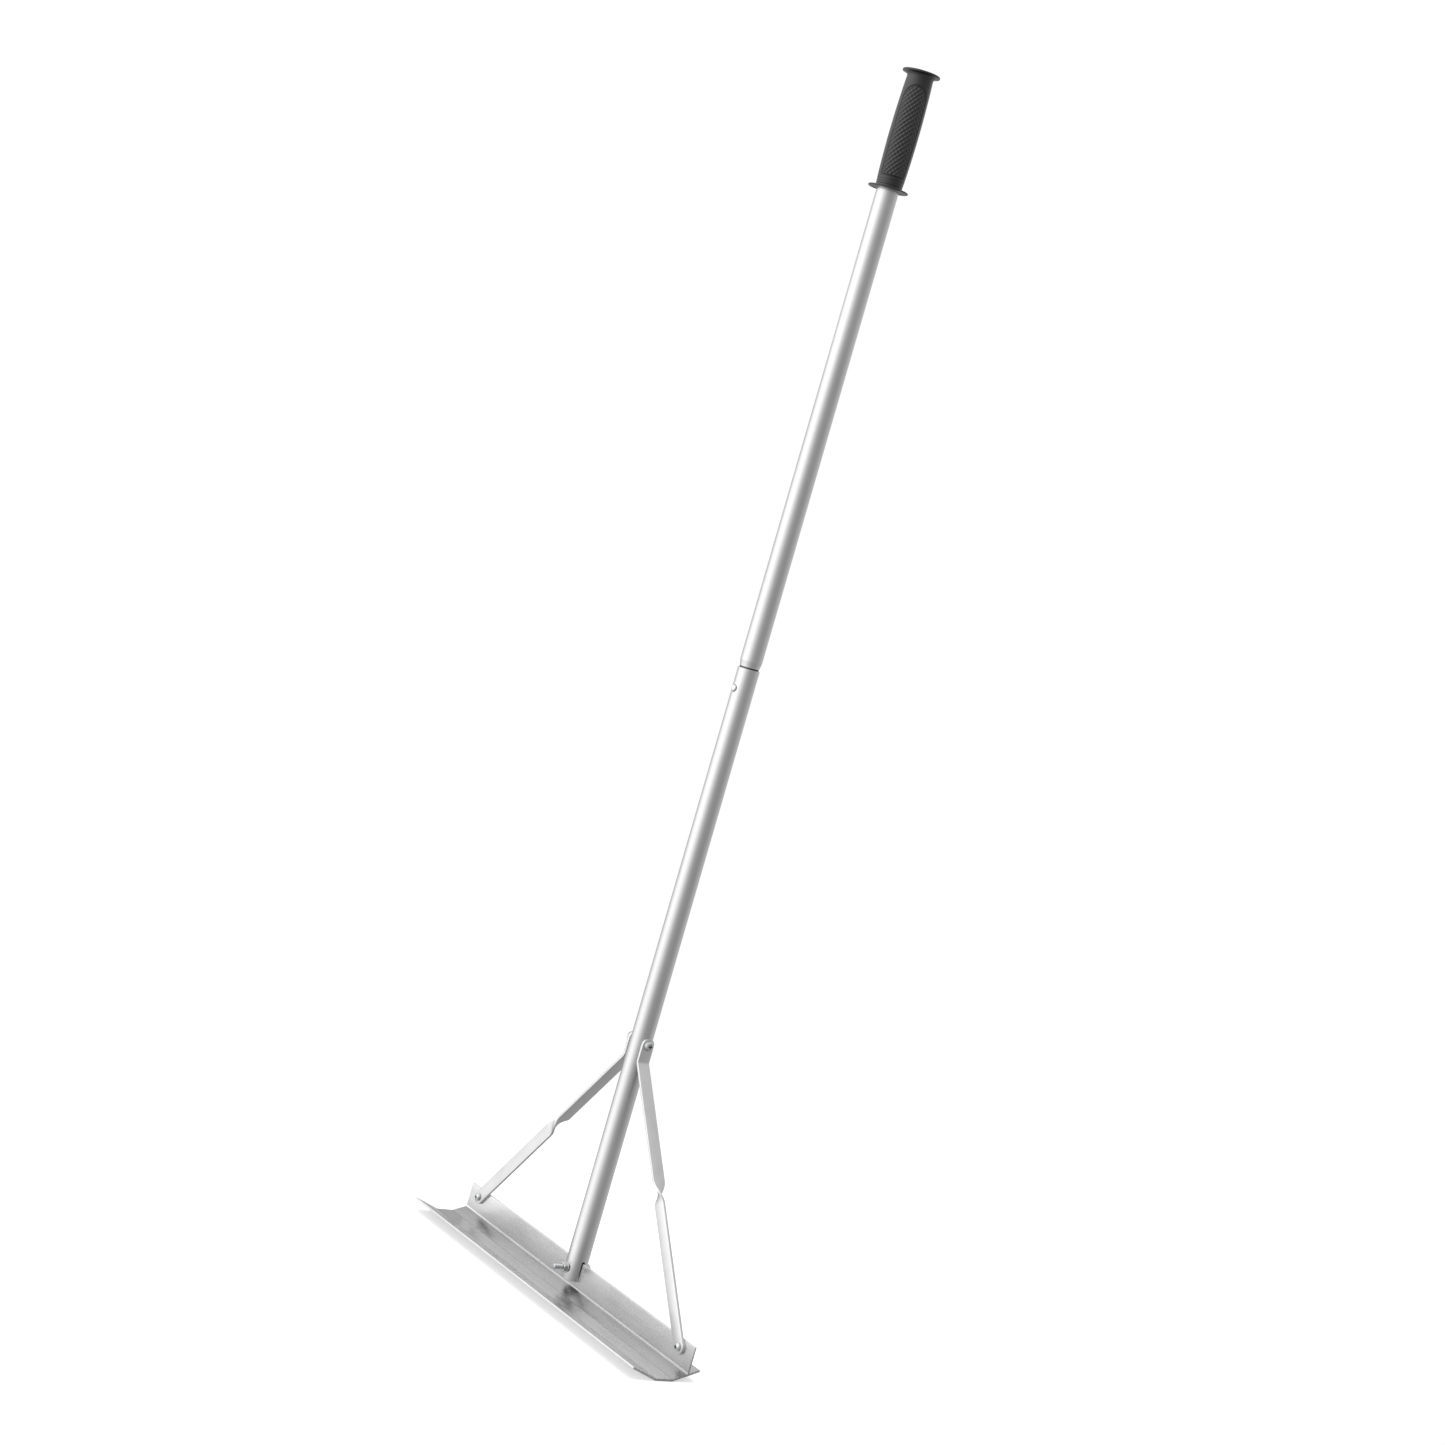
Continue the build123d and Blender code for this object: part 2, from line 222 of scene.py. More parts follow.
def tube_finish():
    """Satin anodised tube: an even fine etch, with faint draw lines along Z."""
    f = Finish("tube_satin", {"Metallic": 1.0})
    lines = f.noise((900, 900, 6), 2.0)
    cloud = f.noise((24, 24, 5), 3.0)
    etch = f.noise((2600, 2600, 2600), 2.0)
    # painted shade: a dark band at the root of the spigot, just above the lower tube's lip, where the
    # recess falls in shade
    height = f.add("ShaderNodeSeparateXYZ", {0: f.coords}).outputs["Z"]
    from_band = f.math("ABSOLUTE", f.math("SUBTRACT", height, recess_z * MM), 0.0)
    unshaded = f.ramp(from_band, recess_half * MM, (recess_half + 0.15) * MM, 0.0, 1.0)
    f.colour(f.math("MULTIPLY", f.ramp(cloud, 0.35, 0.65, 0.93, 1.0), unshaded), grey(0.08), grey(0.60))
    f.rough(f.math("ADD", f.ramp(lines, 0.3, 0.7, 0.27, 0.33), f.ramp(cloud, 0.3, 0.7, -0.02, 0.02)))
    f.bump(f.math("ADD", f.ramp(lines, 0.2, 0.8, 0.0, 0.6), f.ramp(etch, 0.2, 0.8, 0.0, 0.4)), 0.00001)
    return f.material


wing_top_z = 2.66 + 18.0 * tan(radians(20))  # the rear wing's top face where it meets the rib


def blade_finish():
    """Mill aluminium: cloudy, with striations along X and a few scuffs."""
    f = Finish("blade_mill", {"Metallic": 1.0})
    lines = f.noise((5, 1100, 1100), 3.0)
    bands = f.noise((2.5, 160, 160), 2.0)
    cloud = f.noise((16, 40, 40), 4.0)
    scuff = f.noise((70, 420, 420), 5.0, 0.7)
    mottle_and_painted_light = f.math("ADD", f.ramp(cloud, 0.3, 0.7, 0.0, 0.6), f.ramp(bands, 0.3, 0.7, 0.0, 0.4))
    # painted light and shade on its faces, by their place across and above the sole: painted shade on the
    # flat, the rear wing and both creases, and a rib painted darker low and lighter high
    place = f.add("ShaderNodeSeparateXYZ", {0: f.coords})
    across, height = place.outputs["Y"], place.outputs["Z"]

    def line(y, z, half, soft):
        """1 within half of the line (y, z) along the blade, and 0 beyond soft."""
        dy = f.math("SUBTRACT", across, y * MM)
        dz = f.math("SUBTRACT", height, z * MM)
        square = f.math("ADD", f.math("MULTIPLY", dy, dy), f.math("MULTIPLY", dz, dz))
        return f.ramp(f.math("SQRT", square, 0.0), half * MM, soft * MM, 1.0, 0.0)

    def band(start, start_full, end_full, end):
        """1 between two edges across the blade, and 0 outside them."""
        rise = f.ramp(across, start * MM, start_full * MM, 0.0, 1.0)
        return f.math("MULTIPLY", rise, f.ramp(across, end_full * MM, end * MM, 1.0, 0.0))

    # the rib's root: a painted highlight along its fillet, with a painted shade line in the corner below
    # it
    bright = line(28.7, wing_top_z + 0.7, 0.75, 0.95)
    dark = line(27.3, wing_top_z - 0.25, 0.35, 0.55)
    flat = band(-12.5, -10.5, 10.5, 12.0)
    rear_wing = band(10.5, 12.0, 28.0, 28.8)
    rear_wing = f.math("MULTIPLY", rear_wing, f.ramp(across, 12.0 * MM, 28.0 * MM, 0.12, 0.24))
    rib = band(28.4, 28.8, 31.2, 31.6)
    rib = f.math("MULTIPLY", rib, f.ramp(height, 9.5 * MM, 38.5 * MM, 0.20, -0.24))
    creases = f.math("ADD", line(-11.3, 2.7, 0.9, 1.6), line(11.3, 2.7, 0.5, 1.1))
    shade = f.math("ADD", f.math("MULTIPLY", flat, 0.15), rear_wing)
    shade = f.math("ADD", f.math("ADD", shade, rib), f.math("MULTIPLY", creases, 0.14))
    shade = f.math("ADD", shade, f.math("MULTIPLY", dark, 0.45))
    mottle_and_painted_light = f.math("MULTIPLY", f.ramp(mottle_and_painted_light, 0.0, 1.0, 0.60, 0.72), f.math("SUBTRACT", 1.0, shade))
    mottle_and_painted_light = f.math("ADD", mottle_and_painted_light, f.math("MULTIPLY", bright, 0.7))
    f.colour(mottle_and_painted_light, grey(0.0), grey(0.84))
    marks = f.math("ADD", f.ramp(scuff, 0.52, 0.72, 0.0, 0.10), f.ramp(lines, 0.3, 0.7, -0.03, 0.03))
    f.rough(f.math("ADD", f.ramp(cloud, 0.3, 0.7, 0.22, 0.32), marks))
    f.bump(f.math("ADD", f.ramp(lines, 0.2, 0.8, 0.0, 1.0), f.ramp(bands, 0.2, 0.8, 0.0, 2.0)), 0.00001)
    return f.material


def bar_finish():
    """Tumbled flat bar: an even satin with small nicks."""
    f = Finish("bar_satin", {"Metallic": 1.0})
    grain = f.noise((1500, 1500, 1500), 3.0)
    cloud = f.noise((45, 45, 30), 3.0)
    nicks = f.noise((260, 260, 260), 5.0, 0.65)
    f.colour(f.ramp(cloud, 0.3, 0.7, 0.0, 1.0), grey(0.60), grey(0.67))
    f.rough(f.math("ADD", f.ramp(cloud, 0.3, 0.7, 0.36, 0.44), f.ramp(nicks, 0.55, 0.75, 0.0, 0.08)))
    f.bump(f.math("ADD", f.ramp(grain, 0.2, 0.8, 0.0, 1.0), f.ramp(nicks, 0.6, 0.7, 0.0, -1.5)), 0.000015)
    return f.material


def zinc_finish():
    """Bright zinc plate, slightly blotched."""
    f = Finish("zinc_bright", {"Metallic": 1.0})
    blotch = f.noise((420, 420, 420), 4.0, 0.6)
    fine = f.noise((2400, 2400, 2400), 2.0)
    f.colour(f.ramp(blotch, 0.35, 0.65, 0.0, 1.0), (0.46, 0.475, 0.50), (0.60, 0.60, 0.585))
    f.rough(f.ramp(blotch, 0.3, 0.7, 0.12, 0.22))
    f.bump(fine, 0.000012)
    return f.material


def recess_finish():
    """Painted shade for the inside of a screw recess: a dull dark metal."""
    f = Finish("zinc_recess_painted_shade", {"Metallic": 1.0})
    blotch = f.noise((900, 900, 900), 3.0)
    f.colour(f.ramp(blotch, 0.35, 0.65, 0.0, 1.0), grey(0.07), grey(0.13))
    f.rough(f.ramp(blotch, 0.3, 0.7, 0.40, 0.55))
    return f.material


def button_finish():
    """Polished stainless, with hairline marks."""
    f = Finish("button_polished", {"Metallic": 1.0})
    marks = f.noise((1800, 300, 1800), 3.0)
    f.colour(marks, grey(0.74, 0.01), grey(0.82, 0.01))
    f.rough(f.ramp(marks, 0.35, 0.65, 0.09, 0.18))
    f.bump(marks, 0.000006)
    return f.material


def spring_finish():
    """Blue-grey spring strip, oiled."""
    f = Finish("spring_strip", {"Metallic": 1.0})
    lines = f.noise((900, 900, 40), 3.0)
    f.colour(f.ramp(lines, 0.3, 0.7, 0.0, 1.0), (0.30, 0.31, 0.34), (0.46, 0.46, 0.48))
    f.rough(f.ramp(lines, 0.3, 0.7, 0.28, 0.42))
    f.bump(lines, 0.00001)
    return f.material


def rubber_finish():
    """Moulded black rubber: a fine spark-eroded texture, and a little dust."""
    sockets = {"Metallic": 0.0, "Specular IOR Level": 0.65}
    f = Finish("grip_rubber_moulded", sockets)
    grain = f.noise((1700, 1700, 1700), 3.0)
    dust = f.noise((60, 60, 45), 5.0, 0.6)
    f.colour(f.ramp(dust, 0.35, 0.7, 0.0, 1.0), grey(0.003), grey(0.006, 0.03))
    f.rough(f.math("ADD", f.ramp(dust, 0.3, 0.7, 0.28, 0.37), f.ramp(grain, 0.3, 0.7, -0.03, 0.03)))
    f.bump(grain, 0.00003)
    return f.material


tube_satin = tube_finish()
blade_mill = blade_finish()
bar_satin = bar_finish()
zinc_bright = zinc_finish()
zinc_recess_painted_shade = recess_finish()
rubber = rubber_finish()

for node, material in (
    ("blade", blade_mill),
    ("lower_tube", tube_satin),
    ("upper_tube", tube_satin),
    ("snap_button", button_finish()),
    ("snap_spring_leaf", spring_finish()),
    ("snap_spring_base", bpy.data.materials["spring_strip"]),
):
    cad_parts[node].data.materials[0] = material

# --- Grip -----------------------------------------------------------------------------------

grip_end_radius = 15.0
grip_belly_radius = 16.7
lower_flange_radius = 23.0
barrel_z = 1301.8
barrel_top_z = 1426.5
cove_radius = 4.5
upper_flange_radius = 21.5
crown_rim_z = 1433.4
panel_centres = (radians(-35.5), radians(144.5))  # about the handle, from +X
panel_half = 16.3  # arc length each side of the panel's centre line
panel_bottom_z = 1313.0
panel_top_z = 1417.5
panel_corner = 2.6
groove_width = 2.0
groove_depth = 0.95
scale_width = 5.2
scale_length = 6.0
scale_height = 0.95
scale_floor = -0.5
ring_pitch = 2.5
ring_depth = 0.32
ring_half = 0.5


def barrel_radius(z):
    """The sleeve's radius at a height: an arc through its ends and its belly."""
    t = (z - barrel_z) / (barrel_top_z - barrel_z) * 2 - 1
    return grip_end_radius + (grip_belly_radius - grip_end_radius) * (1 - t * t)


def inside_panel(s, z):
    """How far a point of the sleeve is inside a panel's outline: straight sides, arched top."""
    spring_z = panel_top_z - panel_half
    if z > spring_z:
        return panel_half - hypot(s, z - spring_z)
    side = abs(s) - (panel_half - panel_corner)
    low = panel_bottom_z + panel_corner - z
    if side > 0 and low > 0:
        return panel_corner - hypot(side, low)
    return min(panel_half - abs(s), z - panel_bottom_z)


def scale_relief(s, z):
    """Rounded bumps in staggered rows, with a pit between every four."""
    wave = cos(2 * pi * s / scale_width) * cos(2 * pi * z / scale_length)
    return scale_floor + scale_height * smooth(0.5 + 0.5 * wave)


def relief(angle, z):
    """How far the moulded surface stands off the plain barrel."""
    height = 0.0
    for centre in panel_centres:
        turn = (angle - centre + pi) % (2 * pi) - pi
        s = turn * grip_belly_radius
        d = inside_panel(s, z)
        if d > 0:
            groove = max(0.0, 1 - (2 * d / groove_width - 1) ** 2) if d < groove_width else 0.0
            height -= groove_depth * groove
            height += smooth((d - groove_width) / 1.1) * scale_relief(s, z)
    for ring in range(1, 4):
        gap = (z - barrel_z - ring_pitch * ring) / ring_half
        height -= ring_depth * exp(-gap * gap)
    return height


def barrel_row(z):
    return lambda angle: (barrel_radius(z) + relief(angle, z), z)


def arc_rows(radius, z, size, start, end, steps):
    """Points of an arc of the sleeve's profile about (radius, z), with angles in degrees."""
    turns = [radians(start + (end - start) * k / steps) for k in range(steps + 1)]
    return [(radius + size * cos(a), z + size * sin(a)) for a in turns]


def make_grip():
    place = Matrix.Translation((0, handle_y, 0))
    rim, dish, root, edge = 0.9, 0.8, 0.8, 0.8
    # the lower flange: a dished underside, a round rim and a root fillet
    rows = [(tube_radius, grip_z + dish)]
    for k in range(1, 8):
        r = tube_radius + (lower_flange_radius - rim - tube_radius) * k / 8
        rows.append((r, grip_z + dish * (1 - (k / 8) ** 3)))
    rows += arc_rows(lower_flange_radius - rim, grip_z + rim, rim, -90, 90, 8)
    rows += arc_rows(grip_end_radius + root, barrel_z + root, root, 270, 180, 5)
    first, last, step = barrel_z + 1.1, barrel_top_z - 0.3, 0.45
    count = int((last - first) / step)
    for k in range(count + 1):
        rows.append(barrel_row(first + (last - first) * k / count))
    # the upper flange: a cove under it, a rim with round edges, and the crown that closes it
    rows += arc_rows(grip_end_radius + cove_radius, barrel_top_z, cove_radius, 180, 90, 9)
    rows += arc_rows(upper_flange_radius - edge, barrel_top_z + cove_radius + edge, edge, -90, 0, 5)
    rows += arc_rows(upper_flange_radius - edge, crown_rim_z - edge, edge, 0, 90, 5)
    for k in range(1, 9):
        t = 1 - k / 8
        rows.append(((upper_flange_radius - edge) * t, crown_rim_z + 1.6 * (1 - t * t)))
    rows += [(0, handle_top_z), (tube_radius, handle_top_z)]
    verts, faces = skin(turned(rows, place, 288), loop_rows=True)
    dress(add_mesh("grip_moulded", verts, faces, 50), rubber, "upper_handle", "grip_rubber", "grip")


make_grip()

# --- Braces ---------------------------------------------------------------------------------

bar_x = tube_radius + bar_thickness / 2
bar_offset = rib_half + bar_thickness / 2
bar_front = rib_half + bar_thickness
bar_edge = 0.55
twist_position = 0.47
twist_length = 30.0


def make_brace(side):
    """One brace, swept down its middle line. side is 1 on the right and -1 on the left."""
    drop = hypot(screw_x - bar_x, bend_z - bolt_line_z)
    slope = atan2(screw_x - bar_x, bend_z - bolt_line_z)
    down = Vector((0, 0, -1))
    along = Vector((side * sin(slope), 0, -cos(slope)))
    across = Vector((cos(slope), 0, side * sin(slope)))
    front = Vector((0, -1, 0))
    tab = Vector((side * bar_x, handle_y, cross_z))
    bend = Vector((side * bar_x, handle_y, bend_z))
    half = bar_width / 2
    stations = []
    for k in range(1, 10):
        a = radians(10 * k)
        stations.append((tab - down * half * cos(a), down, front, half * sin(a)))
    reach = bend_radius * tan(slope / 2)
    turn_centre = bend - down * reach + Vector((side * bend_radius, 0, 0))
    for k in range(9):
        a = slope * k / 8
        out = Vector((-side * cos(a), 0, -sin(a)))
        heading = Vector((side * sin(a), 0, -cos(a)))
        stations.append((turn_centre + out * bend_radius, heading, front, half))
    twist_from = twist_position * drop - twist_length / 2
    steps = 24
    for k in range(steps + 1):
        ease = smooth(k / steps)
        a = ease * pi / 2
        centre = bend + along * (twist_from + twist_length * k / steps) + front * bar_offset * ease
        stations.append((centre, along, front * cos(a) + across * sin(a), half))
    foot = bend + along * drop + front * bar_offset
    for k in range(9):
        a = radians(10 * k)
        stations.append((foot + along * half * sin(a), along, across, half * cos(a)))
    rows = []
    for centre, heading, wide, half_width in stations:
        thick = heading.cross(wide)
        w, t = max(half_width, bar_edge), bar_thickness / 2
        outline = rounded([(-w, -t), (w, -t), (w, t), (-w, t)], [min(bar_edge, w * 0.98)] * 4, 3)
        rows.append([centre + wide * p.x + thick * p.y for p in outline])
    name = "right" if side > 0 else "left"
    verts, faces = skin(rows, caps=True)
    obj = add_mesh(f"brace_{name}_bar", verts, faces, 40)
    dress(obj, bar_satin, "tool_head", "brace_aluminium", f"brace_{name}")


make_brace(1)
make_brace(-1)

# --- Fasteners ------------------------------------------------------------------------------

m6_radius = 2.95
m6_pitch = 1.0
m6_plain_length = 22.0
m6_washer_radius = 6.0
m6_washer_hole = 3.2
m6_washer = 1.2
m6_flats = 10.0
m6_nut_bore = 3.0
m6_nut_height = 5.0
m6_head_height = 4.0
m6_pan_radius = 5.6
m6_pan_height = 3.6
foot_bolt_length = 45.0
cross_screw_length = 40.0
m5_radius = 2.45
m5_pitch = 0.8
m5_washer_radius = 5.0
m5_washer_hole = 2.65
m5_washer = 1.0
m5_flats = 8.0
m5_nut_bore = 2.5
m5_nut_height = 4.0
m5_pan_radius = 4.9
m5_pan_height = 3.7
m5_screw_length = 12.0
pan_fall = 0.62  # how much of a pan head's height its dome has lost at the rim
recess_shade_depth = 0.25  # the painted recess shade starts this far below the dome


def thread_row(z, length, radius, pitch):
    """One level of a helical thread, with a chamfered end at length."""

    def row(angle):
        phase = z / pitch - angle / (2 * pi)
        crest = abs(phase - floor(phase) - 0.5) * 2
        r = radius - 0.6 * pitch * (1 - smooth(min(1.0, crest * 1.25)))
        return min(r, radius - max(0.0, z - (length - 0.9 * pitch))), z

    return row


def shank_rows(start, length, radius, pitch):
    """Threaded rows from start to length, closed at the end."""
    count = int((length - start) / (pitch / 8))
    levels = [start + (length - start) * k / count for k in range(count + 1)]
    rows = [thread_row(z, length, radius, pitch) for z in levels]
    return rows + [(radius * 0.35, length + 0.05), (0, length + 0.05)]


def hex_radius(angle, flats):
    """From the middle of a hexagon to its edge."""
    return flats / 2 / cos((angle + pi / 6) % (pi / 3) - pi / 6)


def hex_rows(flats, height, bore):
    """A nut's hexagon from bottom to top, its corners chamfered at the top, and its bore."""
    rows = []

    def level(share, top):
        def row(angle):
            edge = hex_radius(angle, flats)
            r = bore + (edge - bore) * share
            cut = max(0.0, r - flats / 2 * 0.96) * tan(radians(30))
            return r, (height - cut) if top else min(cut * 0.35, 0.2)

        return row

    for share in (1.0, 0.97, 0.9, 0.8, 0.4, 0.0):
        rows.append(level(share, False))
    throat = bore - 0.25
    rows += [(bore + 0.01, 0.3), (throat, 0.6), (throat, height - 0.6), (bore + 0.01, height - 0.3)]
    rows += [level(share, True) for share in (0.04, 0.3, 0.6, 0.8, 0.88, 0.94, 1.0)]
    return rows


def make_nut(name, place, flats, bore, height, node):
    rows = hex_rows(flats, height, bore)
    verts, faces = skin(turned(rows, place, 96), loop_rows=True)
    dress(add_mesh(name, verts, faces, 28), zinc_bright, "tool_head", "zinc_fastener", node)


def make_washer(name, place, radius, hole, thickness, node):
    """A stamped washer: a rolled upper edge and a sharper lower one."""
    outline = rounded(
        [(hole, 0), (radius, 0), (radius, thickness), (hole, thickness)], [0.1, 0.15, 0.4, 0.3], 4
    )
    rows = [(p.x, p.y) for p in outline]
    verts, faces = skin(turned(rows, place, 64), loop_rows=True)
    dress(add_mesh(name, verts, faces, 40), zinc_bright, "tool_head", "zinc_fastener", node)


def make_hex_bolt(name, place, flats, head, length, node):
    """Head below the frame's origin, shank up its Z axis."""
    rows = [(0, -head + 0.25), (flats / 2 * 0.7, -head + 0.25), (flats / 2 * 0.76, -head)]

    def crown(share):
        def row(angle):
            edge = hex_radius(angle, flats)
            r = flats / 2 * 0.76 + (edge - flats / 2 * 0.76) * share
            return r, -head + max(0.0, r - flats / 2 * 0.95) * tan(radians(30))

        return row

    def base(share):
        return lambda angle: (m6_radius + (hex_radius(angle, flats) - m6_radius) * share, 0.0)

    rows += [crown(s) for s in (0.3, 0.6, 0.8, 0.9, 1.0)]
    rows += [base(s) for s in (1.0, 0.5, 0.0)]
    rows += [(m6_radius, 0.5), (m6_radius, m6_plain_length)]
    rows += shank_rows(m6_plain_length + 0.5, length, m6_radius, m6_pitch)
    verts, faces = skin(turned(rows, place, 96))
    dress(add_mesh(name, verts, faces, 28), zinc_bright, "tool_head", "zinc_fastener", node)


def make_pan_screw(name, place, head_radius, head, radius, pitch, length, node):
    """A domed pan head with a cross recess below the frame's origin, shank up its Z axis."""
    arm, width, depth = head_radius / 2, 0.62, 1.6

    def crown(r):
        rise = head * (1 - (r / head_radius) ** 4 * pan_fall)

        def row(angle):
            x, y = abs(r * cos(angle)), abs(r * sin(angle))
            near, far = min(x, y), max(x, y)
            wall = smooth((width * (1 - 0.3 * far / arm) - near) / 0.22 + 0.5)
            cut = depth * (1 - 0.45 * far / arm) * wall * smooth((arm - far) / 0.25 + 0.5)
            return r, -rise + cut

        return row

    fine = [0.12 * k for k in range(int((arm + 0.4) / 0.12) + 1)]
    coarse = [arm + 0.5 + (head_radius * 0.97 - arm - 0.5) * k / 8 for k in range(9)]
    rows = [crown(r) for r in fine + coarse]
    shoulder = head * (1 - pan_fall * 0.97**4)
    for k in range(1, 6):
        a = radians(18 * k)
        rows.append((head_radius * (0.97 + 0.03 * sin(a)), -shoulder * (0.45 + 0.55 * cos(a))))
    rows += [(head_radius, -0.15), (head_radius - 0.15, 0), (radius, 0)]
    rows += shank_rows(0.4, length, radius, pitch)
    verts, faces = skin(turned(rows, place, 96))
    obj = add_mesh(name, verts, faces, 40)
    dress(obj, zinc_bright, "tool_head", "zinc_fastener", node)
    # the recess faces take the painted shade material; the rim keeps the bright zinc
    obj.data.materials.append(zinc_recess_painted_shade)
    local = place.inverted()
    for face in obj.data.polygons:
        x, y, z = local @ (face.center / MM)
        r = hypot(x, y)
        dome = head * (1 - (r / head_radius) ** 4 * pan_fall)
        if r < arm and z + dome > recess_shade_depth:
            face.material_index = 1



def m6_washer_at(name, place, node):
    make_washer(name, place, m6_washer_radius, m6_washer_hole, m6_washer, node)


foot_rear = place_at((0, handle_y + tube_radius, bolt_line_z), (0, 1, 0))
foot_front = place_at((0, handle_y - tube_radius, bolt_line_z), (0, -1, 0))
foot_nut = place_at((0, handle_y - tube_radius - m6_washer, bolt_line_z), (0, -1, 0))
foot_bolt = place_at((0, handle_y + tube_radius + m6_washer, bolt_line_z), (0, -1, 0))
make_hex_bolt("foot_bolt_threaded", foot_bolt, m6_flats, m6_head_height, foot_bolt_length, "foot_bolt")
m6_washer_at("foot_washer_rear_stamped", foot_rear, "foot_washer_rear")
m6_washer_at("foot_washer_front_stamped", foot_front, "foot_washer_front")
make_nut("foot_nut_chamfered", foot_nut, m6_flats, m6_nut_bore, m6_nut_height, "foot_nut")

tab_face = tube_radius + bar_thickness
cross_right = place_at((tab_face, handle_y, cross_z), (1, 0, 0))
cross_left = place_at((-tab_face, handle_y, cross_z), (-1, 0, 0))
cross_nut = place_at((-tab_face - m6_washer, handle_y, cross_z), (-1, 0, 0))
cross_head = place_at((tab_face + m6_washer, handle_y, cross_z), (-1, 0, 0))
m6_pan = (m6_pan_radius, m6_pan_height, m6_radius, m6_pitch, cross_screw_length)
make_pan_screw("cross_screw_threaded", cross_head, *m6_pan, "cross_screw")
m6_washer_at("cross_washer_right_stamped", cross_right, "cross_washer_right")
m6_washer_at("cross_washer_left_stamped", cross_left, "cross_washer_left")
make_nut("cross_nut_chamfered", cross_nut, m6_flats, m6_nut_bore, m6_nut_height, "cross_nut")

m5_pan = (m5_pan_radius, m5_pan_height, m5_radius, m5_pitch, m5_screw_length)
m5_ring = (m5_washer_radius, m5_washer_hole, m5_washer)
for side, name in ((1, "right"), (-1, "left")):
    x = side * screw_x
    head = place_at((x, handle_y - bar_front, bolt_line_z), (0, 1, 0))
    washer = place_at((x, handle_y + rib_half, bolt_line_z), (0, 1, 0))
    nut = place_at((x, handle_y + rib_half + m5_washer, bolt_line_z), (0, 1, 0))
    nut_size = (m5_flats, m5_nut_bore, m5_nut_height)
    make_pan_screw(f"brace_screw_{name}_threaded", head, *m5_pan, f"brace_screw_{name}")
    make_washer(f"brace_washer_{name}_stamped", washer, *m5_ring, f"brace_washer_{name}")
    make_nut(f"brace_nut_{name}_chamfered", nut, *nut_size, f"brace_nut_{name}")

# --- Floor, light and camera ----------------------------------------------------------------

camera_azimuth = radians(53.50)
camera_elevation = radians(4.17)
camera_roll = radians(16.15)
camera_distance = 3.0388
camera_target = Vector((0.0, 0.0152, 0.6792))
camera_lens = 67.27
sensor_width = 36.0


def heading(azimuth, elevation):
    """A unit vector out from the object: azimuth from -Y towards +X."""
    level = cos(elevation)
    return Vector((level * sin(azimuth), -level * cos(azimuth), sin(elevation)))


def add_camera():
    back = heading(camera_azimuth, camera_elevation)
    right = Vector((cos(camera_azimuth), sin(camera_azimuth), 0))
    up = back.cross(right)
    rolled_right = right * cos(camera_roll) + up * sin(camera_roll)
    rolled_up = up * cos(camera_roll) - right * sin(camera_roll)
    data = bpy.data.cameras.new("camera")
    data.lens = camera_lens
    data.sensor_width = sensor_width
    data.clip_start = 0.05
    data.clip_end = 60
    camera = bpy.data.objects.new("camera", data)
    scene.collection.objects.link(camera)
    turn = Matrix((rolled_right, rolled_up, back)).transposed().to_4x4()
    camera.matrix_world = Matrix.Translation(camera_target + back * camera_distance) @ turn
    scene.camera = camera


def add_softbox(name, azimuth, elevation, distance, size, power):
    """A soft area light that faces the object. azimuth is from the camera, positive to its right."""
    target = Vector((0, 0.02, 0.6))
    out = heading(camera_azimuth + radians(azimuth), radians(elevation))
    data = bpy.data.lights.new(name, "AREA")
    data.shape = "RECTANGLE"
    data.size, data.size_y = size
    data.energy = power
    light = bpy.data.objects.new(name, data)
    light.location = target + out * distance
    light.rotation_euler = out.to_track_quat("Z", "Y").to_euler()
    light.visible_camera = False
    light.visible_glossy = False
    scene.collection.objects.link(light)


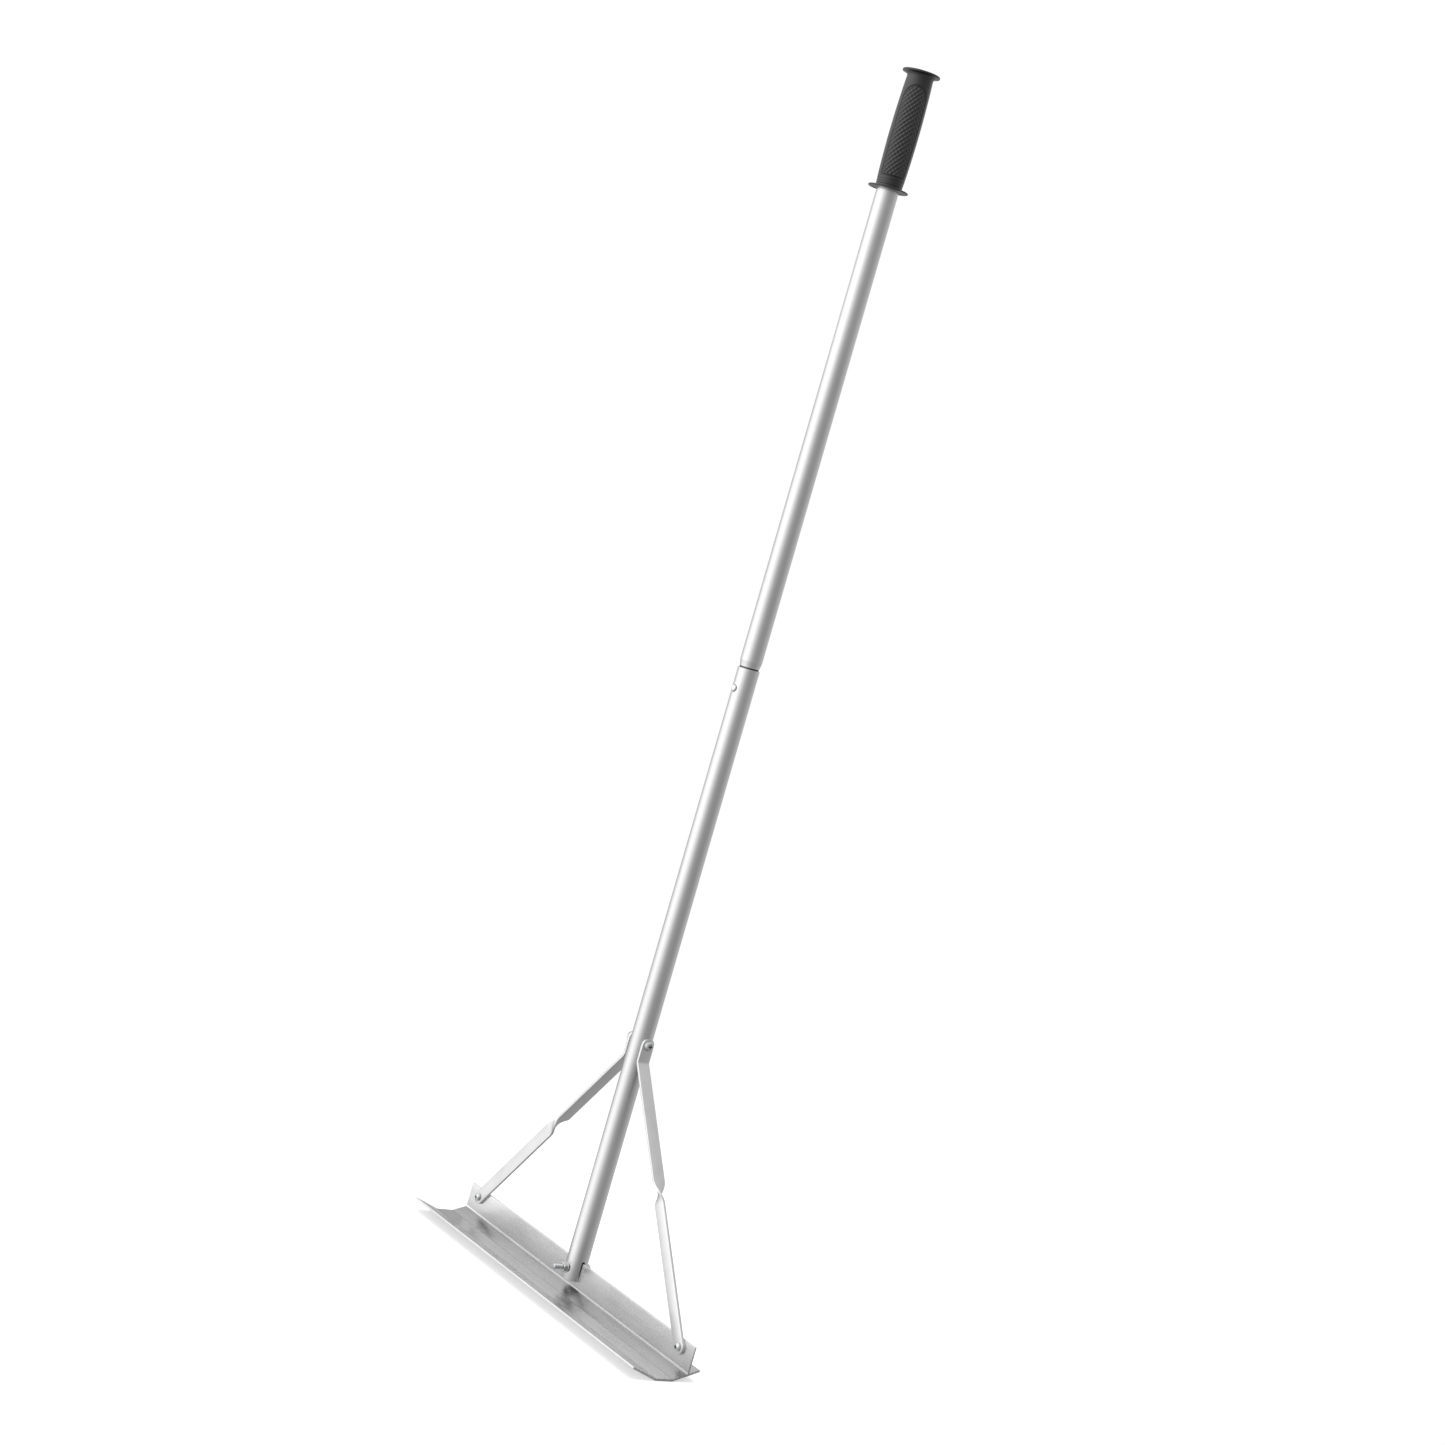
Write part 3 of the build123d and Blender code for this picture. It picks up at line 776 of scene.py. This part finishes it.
def add_floor():
    """A pale round floor, a hair under the blade, that fades into the white backdrop."""
    radius, sides, gap = 1300.0, 96, 0.4
    angles = [2 * pi * k / sides for k in range(sides)]
    ring = [(radius * cos(a), radius * sin(a), -gap) for a in angles]
    obj = add_mesh("floor", ring, [tuple(range(sides))])
    sockets = {"Roughness": 0.7, "Emission Color": (1, 1, 1, 1), "Emission Strength": 0.5}
    f = Finish("floor_pale", sockets)
    f.colour(f.noise((3, 3, 3), 3.0), grey(0.54), grey(0.56))
    reach = f.add("ShaderNodeVectorMath", {0: f.coords}, operation="LENGTH").outputs["Value"]
    fade = f.ramp(reach, 0.55, 1.25, 1.0, 0.0)
    f.tree.links.new(fade, f.shader.inputs["Alpha"])
    obj.data.materials.append(f.material)
    obj.visible_glossy = False


def add_world():
    """White behind the object, and a soft studio for light and reflections: a broad glow from
    the left of the camera, a weak one from behind on the right, and a brighter ceiling."""
    world = bpy.data.worlds.new("studio")
    scene.world = world
    world.use_nodes = True
    nodes, links = world.node_tree.nodes, world.node_tree.links
    nodes.clear()
    direction = nodes.new("ShaderNodeTexCoord").outputs["Generated"]

    def math(operation, a, b):
        node = nodes.new("ShaderNodeMath")
        node.operation = operation
        for socket, value in ((0, a), (1, b)):
            if isinstance(value, bpy.types.NodeSocket):
                links.new(value, node.inputs[socket])
            else:
                node.inputs[socket].default_value = value
        return node.outputs[0]

    def glow(azimuth, elevation, power, strength):
        """A smooth lobe of light about a direction. azimuth is from the camera, positive to its right."""
        dot = nodes.new("ShaderNodeVectorMath")
        dot.operation = "DOT_PRODUCT"
        links.new(direction, dot.inputs[0])
        dot.inputs[1].default_value = heading(camera_azimuth + radians(azimuth), radians(elevation))
        half = math("ADD", math("MULTIPLY", dot.outputs["Value"], 0.5), 0.5)
        return math("MULTIPLY", math("POWER", half, power), strength)

    total = math("ADD", glow(-75, 12, 4.0, 1.65), 0.40)
    total = math("ADD", glow(135, 5, 6.0, 0.35), total)
    total = math("ADD", glow(0, 90, 5.0, 0.60), total)
    rays = nodes.new("ShaderNodeLightPath")
    studio = nodes.new("ShaderNodeBackground")
    studio.inputs["Color"].default_value = (1, 1, 1, 1)
    links.new(total, studio.inputs["Strength"])
    backdrop = nodes.new("ShaderNodeBackground")
    backdrop.inputs["Color"].default_value = (1, 1, 1, 1)
    mix = nodes.new("ShaderNodeMixShader")
    links.new(rays.outputs["Is Camera Ray"], mix.inputs["Fac"])
    links.new(studio.outputs[0], mix.inputs[1])
    links.new(backdrop.outputs[0], mix.inputs[2])
    out = nodes.new("ShaderNodeOutputWorld")
    links.new(mix.outputs[0], out.inputs["Surface"])


add_camera()
add_floor()
add_world()
add_softbox("top", 20, 80, 2.6, (2.0, 2.0), 46)

scene.view_settings.view_transform = "Standard"
